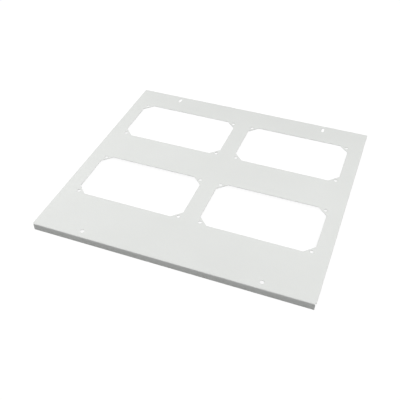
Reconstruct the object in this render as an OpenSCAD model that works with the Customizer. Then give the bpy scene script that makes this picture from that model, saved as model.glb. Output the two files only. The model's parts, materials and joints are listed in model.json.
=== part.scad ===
// Cable entry plate for the roof or floor of a switchgear cabinet.
// One steel sheet: a flat web with four chamfered cut-outs for cable gland plates, and its front edge
// folded down. The other three edges are straight cuts.
// The origin is under the centre of the plate, level with the lower rim of the folded edge.
// X runs along the plate's width, Y to its back edge, Z up.

/* [Sheet] */
// Overall width
plate_w = 600; // [560:5:1200]
// Overall depth, from the outside of the folded edge to the back edge
plate_d = 565; // [480:5:1200]
// Thickness of the sheet
sheet_t = 1.25; // [1:0.05:3]

/* [Folded edge] */
// Height of the folded edge, from its lower rim to the top face of the web
edge_h = 16; // [8:0.5:40]
// Inside radius of the fold
bend_r = 0.8; // [0.5:0.1:3]
// Width of the notch at each end of the fold
notch_w = 2.2; // [1:0.1:10]
// How far the notches are cut past the fold line
notch_relief = 0.5; // [0.1:0.1:3]

/* [Cable cut-outs] */
// Number of cut-outs from left to right
cutout_columns = 2; // [1:1:2]
// Number of cut-outs from front to back
cutout_rows = 2; // [1:1:2]
// Width of a cut-out
cutout_w = 247; // [120:1:255]
// Depth of a cut-out
cutout_d = 140; // [80:1:150]
// Leg of the 45 degree chamfers at a cut-out's corners
cutout_chamfer = 21; // [17:1:35]
// Width of the bar between two columns of cut-outs
column_gap = 39; // [15:1:60]
// Depth of the bar between two rows of cut-outs
row_gap = 96; // [30:1:130]
// From the back edge of the plate to the back row of cut-outs
back_margin = 66; // [40:1:120]

/* [Gland plate holes] */
// Diameter of the four small holes in the corners of each cut-out
gland_hole_d = 7; // [3:0.1:8]
// From a cut-out's left or right edge to the middle of the hole beside it
gland_hole_x = 5; // [4:0.1:7]
// From a cut-out's front or back edge to the middle of the hole beside it
gland_hole_y = 5; // [4:0.1:7]

/* [Fixing holes] */
// Diameter of the round holes near the front edge
fixing_d = 8.5; // [4:0.1:10]
// Width of the slots near the back edge
slot_w = 6.5; // [4:0.1:10]
// From the left to the right hole of a pair, middle to middle
fixing_spacing = 384; // [150:1:500]
// From the front or back edge of the plate to the middle of a hole or slot
fixing_margin = 17; // [14:0.5:30]
// How far the plate can be shifted along a slot, front to back
slot_travel = 10; // [2:0.5:14]

/* [Hidden] */
// Outside radius of the fold
fold_r = bend_r + sheet_t;
// Length by which a cutting shape runs past both faces of the web
overcut = 1;
$fn = 64;

// Middle of a column of cut-outs, counted from the left
function column_x(column) = (column - (cutout_columns - 1) / 2) * (cutout_w + column_gap);

// Middle of a row of cut-outs, counted from the back
function row_y(row) = plate_d / 2 - back_margin - cutout_d / 2 - row * (cutout_d + row_gap);

// The flat part of the sheet, from the fold line to the back edge
module web() {
    translate([-plate_w / 2, fold_r - plate_d / 2, edge_h - sheet_t])
        cube([plate_w, plate_d - fold_r, sheet_t]);
}

// The fold along the front and the upright rim below it
module folded_edge() {
    length = plate_w - 2 * notch_w;
    translate([length / 2, fold_r - plate_d / 2, edge_h - fold_r])
        rotate([90, 0, -90])
            rotate_extrude(angle = 90) translate([bend_r, 0]) square([sheet_t, length]);
    translate([-length / 2, -plate_d / 2, 0]) cube([length, sheet_t, edge_h - fold_r]);
}

// The notches that free the ends of the fold
module fold_notches() {
    depth = fold_r + notch_relief;
    for (x = [-1, 1])
        translate([x * (plate_w - notch_w + overcut) / 2, (depth - overcut - plate_d) / 2])
            through_web() square([notch_w + overcut, depth + overcut], center = true);
}

// A straight cut through the web with the outline of the children
module through_web() {
    translate([0, 0, edge_h - sheet_t - overcut]) linear_extrude(sheet_t + 2 * overcut) children();
}

// A rectangle with its corners cut off at 45 degrees
module chamfered_rectangle(w, d, leg) {
    polygon([
        [w / 2, d / 2 - leg], [w / 2 - leg, d / 2], [leg - w / 2, d / 2], [-w / 2, d / 2 - leg],
        [-w / 2, leg - d / 2], [leg - w / 2, -d / 2], [w / 2 - leg, -d / 2], [w / 2, leg - d / 2]
    ]);
}

// One cut-out and the four small holes in the corners that its chamfers leave
module cable_cutout() {
    through_web() chamfered_rectangle(cutout_w, cutout_d, cutout_chamfer);
    for (x = [-1, 1], y = [-1, 1])
        translate([x * (cutout_w / 2 - gland_hole_x), y * (cutout_d / 2 - gland_hole_y)])
            through_web() circle(d = gland_hole_d);
}

// A slot along Y with round ends
module fixing_slot() {
    for (y = [-1, 1]) translate([0, y * slot_travel / 2]) through_web() circle(d = slot_w);
    through_web() square([slot_w, slot_travel], center = true);
}

// Round holes near the front edge, and slots near the back edge that take up tolerance
module fixing_holes() {
    hole_y = plate_d / 2 - fixing_margin;
    for (x = [-1, 1] * fixing_spacing / 2) {
        translate([x, -hole_y]) through_web() circle(d = fixing_d);
        translate([x, hole_y]) fixing_slot();
    }
}

module entry_plate() {
    color([0.88, 0.89, 0.88]) difference() {
        union() {
            web();
            folded_edge();
        }
        fold_notches();
        for (column = [0 : cutout_columns - 1], row = [0 : cutout_rows - 1])
            translate([column_x(column), row_y(row)]) cable_cutout();
        fixing_holes();
    }
}

entry_plate();
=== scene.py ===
import json
import math

import bpy
import numpy as np
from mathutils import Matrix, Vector
from mathutils.geometry import delaunay_2d_cdt


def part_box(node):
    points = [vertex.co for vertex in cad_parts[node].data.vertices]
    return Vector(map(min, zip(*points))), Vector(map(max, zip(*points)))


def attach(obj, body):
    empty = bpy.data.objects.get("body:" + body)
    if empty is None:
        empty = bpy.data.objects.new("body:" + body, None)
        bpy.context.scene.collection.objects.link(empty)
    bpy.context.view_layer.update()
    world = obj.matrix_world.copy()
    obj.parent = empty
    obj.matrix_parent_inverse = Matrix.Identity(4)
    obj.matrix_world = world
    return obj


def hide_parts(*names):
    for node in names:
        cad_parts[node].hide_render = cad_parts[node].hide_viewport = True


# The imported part. Its box and its mounts give the places of all that follows, and the box is kept as it is
# before any new piece is there.
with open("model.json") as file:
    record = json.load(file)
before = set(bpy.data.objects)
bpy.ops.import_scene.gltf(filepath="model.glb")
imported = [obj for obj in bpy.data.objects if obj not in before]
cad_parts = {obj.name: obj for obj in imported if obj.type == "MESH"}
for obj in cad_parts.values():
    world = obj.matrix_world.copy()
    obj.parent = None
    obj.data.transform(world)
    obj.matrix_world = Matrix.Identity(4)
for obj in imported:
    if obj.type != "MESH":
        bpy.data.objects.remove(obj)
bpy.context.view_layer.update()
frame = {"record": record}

# The blank: sheet steel 1.25 mm thick, laser cut while it is flat, with every opening already in it.
# A tab along the front becomes the folded edge, and a notch at each end of the tab frees the fold.
# Blank points are in metres on the upper face, with X and Y as in the part's frame behind the fold line.
sheet_t = 0.00125
bend_r = 0.0008
notch_w = 0.0022
notch_relief = 0.0005
corner_r = 0.00043
corner_steps = 5
fold_steps = 12

low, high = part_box("entry_plate")
fold_r = bend_r + sheet_t
fold_y = low.y + fold_r
fold_length = fold_r * math.pi / 2
tab_x = high.x - notch_w
tab_y = fold_y - fold_length - (high.z - low.z - fold_r)
shoulder_y = fold_y + notch_relief
fold_stations = fold_y - np.linspace(0, fold_length, fold_steps + 1)


def rounded_outline(corners, radius, steps):
    """Closed outline through the corners, with an arc in place of each corner.

    An arc starts at radius * tan(turn / 2) before its corner. Its centre lies off that point by the radius,
    square to the side and towards the turn, and its points are at equal angles from side to side.
    """
    corners = np.asarray(corners, float)
    heading = corners - np.roll(corners, 1, axis=0)
    heading /= np.linalg.norm(heading, axis=1, keepdims=True)
    ahead = np.roll(heading, -1, axis=0)
    sideways = heading[:, 0] * ahead[:, 1] - heading[:, 1] * ahead[:, 0]
    turn = np.arctan2(sideways, (heading * ahead).sum(axis=1))
    start = corners - heading * (radius * np.tan(abs(turn) / 2))[:, None]
    inward = np.stack([-heading[:, 1], heading[:, 0]], axis=1) * np.sign(turn)[:, None]
    swing = (abs(turn)[:, None] * np.linspace(0, 1, steps))[..., None]
    arc = (1 - np.cos(swing)) * inward[:, None] + np.sin(swing) * heading[:, None]
    return (start[:, None] + radius * arc).reshape(-1, 2)


def divided_outline(outline, stations):
    """The outline with a point added wherever one of its sides crosses a station, a line of constant Y.

    A side crosses at the part of its length where its Y, which changes evenly along it, equals the station.
    """
    span = np.roll(outline, -1, axis=0) - outline
    rise = np.where(span[:, 1] == 0, np.inf, span[:, 1])
    part = (stations - outline[:, 1, None]) / rise[:, None]
    index = np.arange(len(outline))
    added = (index[:, None] + part)[(part > 0) & (part < 1)]
    places = np.sort(np.concatenate([index, added]))
    side = places.astype(int)
    return outline[side] + (places - side)[:, None] * span[side]


blank_corners = [
    (tab_x, tab_y), (tab_x, shoulder_y), (high.x, shoulder_y), (high.x, high.y),
    (low.x, high.y), (low.x, shoulder_y), (-tab_x, shoulder_y), (-tab_x, tab_y),
]
outlines = [divided_outline(rounded_outline(blank_corners, corner_r, corner_steps), fold_stations)]

# The openings: four cut-outs for gland plates, each an oblong with its corners cut off at 45 degrees, and a
# small hole beside each chamfer. Two round fixing holes lie near the folded edge. Two slots near the back
# edge take up tolerance. Their outlines run clockwise, so that the sheet is on the left of every outline.
cutout_w = 0.247
cutout_d = 0.140
cutout_chamfer = 0.021
slot_w = 0.0065
slot_travel = 0.010
hole_steps = 48
mm = 0.001


def chamfered_oblong(centre, width, depth, leg):
    """The eight corners of an oblong whose own corners are cut off at 45 degrees, clockwise."""
    x, y = width / 2, depth / 2
    return np.array(centre) + [
        (x, y - leg), (x, leg - y), (x - leg, -y), (leg - x, -y),
        (-x, leg - y), (-x, y - leg), (leg - x, y), (x - leg, y),
    ]


def round_hole(centre, radius, travel=0.0):
    """Points at equal angles round a circle, clockwise, its back and front halves apart by the travel."""
    angle = -(np.arange(hole_steps) + 0.5) * 2 * math.pi / hole_steps
    circle = np.stack([np.cos(angle), np.sin(angle)], axis=1)
    return np.array(centre) + radius * circle + np.sign(circle) * [0, travel / 2]


mounts = {mount["name"]: mount for mount in frame["record"]["mounts"]}
for name in sorted(mounts):
    if name.startswith("gland_plate_holes"):
        centre = np.array(mounts[name]["pos_m"][:2])
        dims = mounts[name]["dims"]
        half_spacing = np.array([dims["spacing_x_mm"], dims["spacing_y_mm"]]) * mm / 2
        oblong = chamfered_oblong(centre, cutout_w, cutout_d, cutout_chamfer)
        outlines.append(rounded_outline(oblong, corner_r, corner_steps))
        for corner in ((-1, -1), (1, -1), (1, 1), (-1, 1)):
            outlines.append(round_hole(centre + half_spacing * corner, dims["hole_r_mm"] * mm))

front, back = mounts["front_fixing_holes"], mounts["back_fixing_slots"]
for side in (-1, 1):
    beside = np.array([side * front["dims"]["spacing_x_mm"] * mm / 2, 0])
    outlines.append(round_hole(beside + front["pos_m"][:2], front["dims"]["hole_r_mm"] * mm))
    outlines.append(round_hole(beside + back["pos_m"][:2], slot_w / 2, slot_travel))

# The folded plate: the blank with its tab bent down square, as one closed surface. The powder coat rounds
# every cut edge a little, so the cut faces run over into the upper and lower faces in small arcs.
edge_r = 0.0004
edge_steps = 5
same_place = 1e-9


def edge_profile():
    """Section of a cut edge from the upper face to the lower one: arc, straight cut face, arc.

    Gives for each point how far it lies in from the outline, its depth in the sheet, and the parts of
    its normal that point away from the sheet and up. Both arcs are quarter circles of the edge radius.
    """
    swing = np.linspace(0, math.pi / 2, edge_steps)
    away = np.concatenate([np.sin(swing), np.cos(swing)])
    up = np.concatenate([np.cos(swing), -np.sin(swing)])
    arc_middle = np.where(np.arange(2 * edge_steps) < edge_steps, edge_r, sheet_t - edge_r)
    return edge_r * (1 - away), arc_middle - edge_r * up, away, up


def inward_normals(outline):
    """At each point, the direction square to the outline and into the sheet, lengthened as a mitre is."""
    span = np.roll(outline, -1, axis=0) - outline
    span /= np.linalg.norm(span, axis=1, keepdims=True)
    left = np.stack([-span[:, 1], span[:, 0]], axis=1)
    before = np.roll(left, 1, axis=0)
    return (before + left) / (1 + (before * left).sum(axis=1))[:, None]


def folded(points, depth, across, up):
    """Carries blank points over the fold, with normals given as a part in the sheet and a part across it.

    In front of the fold line the sheet follows an arc of the fold radius through a quarter turn, and then
    runs straight down. A point at a depth in the sheet is on an arc whose radius is less by that depth.
    """
    past = np.clip(fold_y - points[:, 1], 0, None)
    turn = np.minimum(past / fold_r, math.pi / 2)
    radius = fold_r - depth
    y = np.maximum(points[:, 1], fold_y) - radius * np.sin(turn)
    z = high.z - fold_r + radius * np.cos(turn) - np.clip(past - fold_length, 0, None)
    lean = across[:, 1] * np.cos(turn) - up * np.sin(turn)
    rise = across[:, 1] * np.sin(turn) + up * np.cos(turn)
    return np.column_stack([points[:, 0], y, z]), np.column_stack([across[:, 0], lean, rise])


def sheet_triangles(points, ahead):
    """Triangles of the sheet, out of a Delaunay net that keeps the outlines and the fold stations.

    The net covers the openings too. A triangle of it is part of the sheet where a line from its middle
    along X crosses the outlines an odd number of times.
    """
    whole_net = 0
    outline_sides = np.stack([np.arange(len(points)), ahead], axis=1)
    near = np.isclose(points[:, 1, None], fold_stations, rtol=0, atol=same_place)
    station_lines = np.argwhere(near.T)[:, 1].reshape(-1, 2)
    kept_lines = np.concatenate([outline_sides, station_lines]).tolist()
    _, _, net, _, _, _ = delaunay_2d_cdt((points / mm).tolist(), kept_lines, [], whole_net, same_place / mm)
    triangles = np.array(net)
    middle = points[triangles].mean(axis=1)[:, None]
    start, end = points, points[ahead]
    spanned = (start[:, 1] > middle[..., 1]) != (end[:, 1] > middle[..., 1])
    slope = (end[:, 0] - start[:, 0]) / np.where(end[:, 1] == start[:, 1], 1, end[:, 1] - start[:, 1])
    crossed = spanned & (start[:, 0] + (middle[..., 1] - start[:, 1]) * slope > middle[..., 0])
    return triangles[crossed.sum(axis=1) % 2 == 1]


edge_points = np.concatenate(outlines)
inward = np.concatenate([inward_normals(outline) for outline in outlines])
counts = [len(outline) for outline in outlines]
firsts = np.cumsum([0] + counts[:-1])
ahead = np.concatenate([first + np.roll(np.arange(count), -1) for first, count in zip(firsts, counts)])
inset, depth, away, up = edge_profile()
rim = edge_points[:, None] + inward[:, None] * inset[:, None]
outward = -inward / np.linalg.norm(inward, axis=1, keepdims=True)
vertices, normals = folded(
    rim.reshape(-1, 2),
    np.tile(depth, len(edge_points)),
    (outward[:, None] * away[:, None]).reshape(-1, 2),
    np.tile(up, len(edge_points)),
)

profile_count = len(inset)
here = np.arange(len(edge_points))[:, None] * profile_count + np.arange(profile_count - 1)
there = ahead[:, None] * profile_count + np.arange(profile_count - 1)
cut_faces = np.stack([here, here + 1, there + 1, there], axis=-1).reshape(-1, 4)
upper_face = sheet_triangles(rim[:, 0], ahead) * profile_count
lower_face = upper_face[:, ::-1] + profile_count - 1

plate_mesh = bpy.data.meshes.new("folded_plate")
plate_mesh.from_pydata(vertices.tolist(), [], cut_faces.tolist() + upper_face.tolist() + lower_face.tolist())
plate_mesh.shade_smooth()
plate_mesh.normals_split_custom_set_from_vertices(normals.tolist())
plate = bpy.data.objects.new("folded_plate", plate_mesh)
bpy.context.scene.collection.objects.link(plate)
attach(plate, "root")
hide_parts("entry_plate")

# The powder coat: light grey polyester powder, sprayed on dry and baked. It levels out to a satin skin with
# a fine grain, a slow ripple and faint clouds, so that it is a little uneven in tone and gloss.
coat_light = (0.785, 0.798, 0.780, 1)
coat_dark = (0.695, 0.708, 0.690, 1)
grains_per_metre = 1000.0
ripples_per_metre = 320.0
clouds_per_metre = 7.0
grain_in_tone = 1.5
cloud_in_tone = 0.5
grain_in_relief = 0.4
relief_depth = 0.0001
relief_strength = 0.6
coat_roughness = 0.60
roughness_spread = 0.16
coat_ior = 1.5


class Wire:
    """An output of a shader node: arithmetic adds Math nodes, and node() adds a node of any other type."""

    def __init__(self, tree, socket=None):
        self.tree = tree
        self.socket = socket

    def node(self, kind, settings=None, inputs=None, output=0):
        """Adds a node, sets its settings and then its sockets to values or wires, and returns one output."""
        node = self.tree.nodes.new(kind)
        for key, value in (settings or {}).items():
            setattr(node, key, value)
        for key, value in (inputs or {}).items():
            if isinstance(value, Wire):
                self.tree.links.new(value.socket, node.inputs[key])
            else:
                node.inputs[key].default_value = value
        return Wire(self.tree, node.outputs[output] if node.outputs else None)

    def math(self, operation, first, second):
        """Adds a Math node on two values or wires."""
        return self.node("ShaderNodeMath", {"operation": operation}, {0: first, 1: second})

    def __add__(self, other):
        return self.math("ADD", self, other)

    def __sub__(self, other):
        return self.math("SUBTRACT", self, other)

    def __rsub__(self, other):
        return self.math("SUBTRACT", other, self)

    def __mul__(self, other):
        return self.math("MULTIPLY", self, other)

    __radd__ = __add__
    __rmul__ = __mul__


def empty_tree(owner):
    """The node tree of a material or a world, with nothing in it."""
    owner.use_nodes = True
    owner.node_tree.nodes.clear()
    return owner.node_tree


coat = bpy.data.materials.new("powder_coat")
place = Wire(empty_tree(coat)).node("ShaderNodeTexCoord", output="Object")


def noise(per_metre, detail):
    """Smooth random values round zero, with as many rises and falls to the metre as given."""
    inputs = {"Vector": place, "Scale": per_metre, "Detail": detail}
    return place.node("ShaderNodeTexNoise", inputs=inputs) - 0.5


grain = noise(grains_per_metre, detail=2.0)
ripple = noise(ripples_per_metre, detail=1.0)
cloud = noise(clouds_per_metre, detail=2.0)

# A Mix node has its colours on sockets 6 and 7, and the mixed colour on output 2.
lightness = grain * grain_in_tone + cloud * cloud_in_tone + 0.5
tone = place.node(
    "ShaderNodeMix",
    {"data_type": "RGBA"},
    {0: lightness, 6: coat_dark, 7: coat_light},
    output=2,
)
height = grain * grain_in_relief + ripple
relief = place.node(
    "ShaderNodeBump",
    inputs={"Strength": relief_strength, "Distance": relief_depth, "Height": height},
)
roughness = grain * roughness_spread + coat_roughness
skin = place.node(
    "ShaderNodeBsdfPrincipled",
    inputs={"Base Color": tone, "Roughness": roughness, "Normal": relief, "IOR": coat_ior},
)
place.node("ShaderNodeOutputMaterial", inputs={"Surface": skin})
plate_mesh.materials.append(coat)

# The table: a wide white top that the plate lies on, resting on the folded edge and the back edge. So in the
# plate's own frame the table rises a little to the back. Seen directly or in a reflection it is white with
# the plate's faint shadow on it, and the light that it throws back is that of a grey card.
table_half = 6.0
table_gap = 0.0001
card_tone = (0.42, 0.42, 0.42, 1)
shade_tone = (0.10, 0.10, 0.10, 1)
table_glow = 0.95

table_slope = (high.z - sheet_t - low.z) / (high.y - low.y - sheet_t)
table_xy = np.array([(-1, -1), (1, -1), (1, 1), (-1, 1)]) * table_half
table_z = low.z - table_gap + table_slope * (table_xy[:, 1] - low.y - sheet_t)
table_mesh = bpy.data.meshes.new("table")
table_mesh.from_pydata(np.column_stack([table_xy, table_z]).tolist(), [], [(0, 1, 2, 3)])
table = bpy.data.objects.new("table", table_mesh)
bpy.context.scene.collection.objects.link(table)


def seen_directly(tree):
    """1 on rays from the camera, off a gloss or through glass, and 0 on the rays that carry soft light."""
    kinds = ("Is Camera Ray", "Is Glossy Ray", "Is Transmission Ray")
    camera_ray, glossy_ray, clear_ray = [
        Wire(tree).node("ShaderNodeLightPath", output=kind) for kind in kinds
    ]
    return camera_ray.math("MINIMUM", camera_ray + glossy_ray + clear_ray, 1.0)


table_top = bpy.data.materials.new("white_table_top")
seen = seen_directly(empty_tree(table_top))
card = seen.node("ShaderNodeBsdfDiffuse", inputs={"Color": card_tone})
shade = seen.node("ShaderNodeBsdfDiffuse", inputs={"Color": shade_tone})
glow = seen.node("ShaderNodeEmission", inputs={"Strength": table_glow})
white = seen.node("ShaderNodeAddShader", inputs={0: shade, 1: glow})
surface = seen.node("ShaderNodeMixShader", inputs={0: seen, 1: card, 2: white})
seen.node("ShaderNodeOutputMaterial", inputs={"Surface": surface})
table_mesh.materials.append(table_top)

# The studio: a soft box high up at each side and a weaker one in front, all facing the middle of the plate,
# and a low even light from all round. The surroundings look white, as bright as the far part of the table.
# A lamp has its place and width in metres and its power in watts.
room_light = 0.264
wall_glow = 0.974
wall_tone = (1, 1, 1, 1)
lamps = {
    "left": ((-1.0, 0.0, 1.3), 0.8, 12.9),
    "right": ((1.0, 0.0, 1.3), 0.8, 11.7),
    "front": ((0.0, -1.2, 1.3), 0.8, 2.5),
}

studio = bpy.data.worlds.new("studio")
bpy.context.scene.world = studio
seen = seen_directly(empty_tree(studio))
strength = seen * (wall_glow - room_light) + room_light
surroundings = seen.node("ShaderNodeBackground", inputs={"Color": wall_tone, "Strength": strength})
seen.node("ShaderNodeOutputWorld", inputs={"Surface": surroundings})

for name, (spot, width, power) in lamps.items():
    lamp = bpy.data.lights.new(name, "AREA")
    lamp.size = width
    lamp.energy = power
    stand = bpy.data.objects.new(name, lamp)
    stand.location = spot
    stand.rotation_euler = Vector(spot).to_track_quat("Z", "Y").to_euler()
    bpy.context.scene.collection.objects.link(stand)

# The camera: a normal lens looking down from in front and a little to the right, as for a catalogue picture.
# It aims at a point of the upper face in front of the middle.
camera_turn = math.radians(20.92)
camera_rise = math.radians(41.50)
camera_distance = 1.3177
camera_aim = Vector((-0.0004, -0.0893, high.z))
camera_lens = 54.63
camera_film = 36.0

view = bpy.data.cameras.new("camera")
view.lens = camera_lens
view.sensor_width = camera_film
camera = bpy.data.objects.new("camera", view)
away_from_aim = Vector((
    math.sin(camera_turn) * math.cos(camera_rise),
    -math.cos(camera_turn) * math.cos(camera_rise),
    math.sin(camera_rise),
))
camera.location = camera_aim + camera_distance * away_from_aim
camera.rotation_euler = (math.pi / 2 - camera_rise, 0, camera_turn)
bpy.context.scene.collection.objects.link(camera)
bpy.context.scene.camera = camera
bpy.context.scene.view_settings.view_transform = "Standard"
